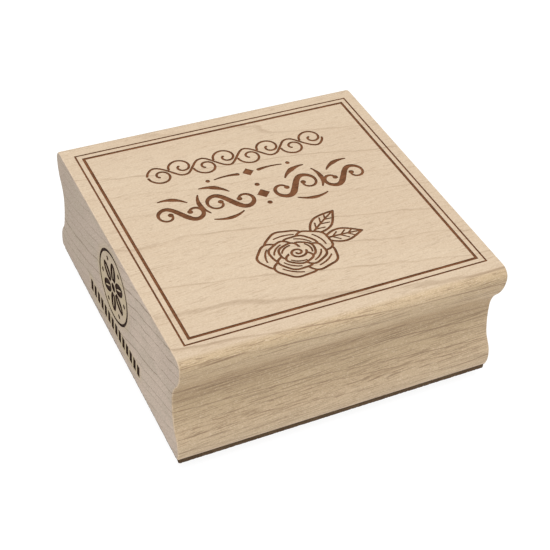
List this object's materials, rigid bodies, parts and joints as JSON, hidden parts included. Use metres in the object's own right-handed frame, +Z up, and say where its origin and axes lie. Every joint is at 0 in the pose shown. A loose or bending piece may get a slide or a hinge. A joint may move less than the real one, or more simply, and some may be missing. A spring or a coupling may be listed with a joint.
{
  "type": "rubber stamp",
  "caption": "Square wood-mounted rubber stamp: moulded maple block with finger coves, foam cushion and a relief rubber die with a bordered rose and scrollwork design.",
  "frame": {"origin": "centre of the printing face, on the surface that the stamp stands on", "axes": "+X along the moulding and its grain, to the right as the design is read; +Y away from the reader; +Z up, from the die to the top of the block"},
  "size_m": [0.0636, 0.0636, 0.0273],
  "materials": {
    "maple": "sanded, unvarnished",
    "adhesive": "matt",
    "foam": "matt closed-cell foam",
    "rubber": "satin"
  },
  "bodies": {
    "mount": {"wood_block": "maple", "block_adhesive": "adhesive", "foam_cushion": "foam"},
    "die": {"die_adhesive": "adhesive", "rubber_die": "rubber"}
  },
  "joints": [
    {"name": "cushion_press", "type": "slide", "parent": "mount", "child": "die", "axis": [0, 0, 1], "range_m": [0, 0.0003], "stiffness_N_per_m": 120000, "deforming": ["foam_cushion"]}
  ]
}
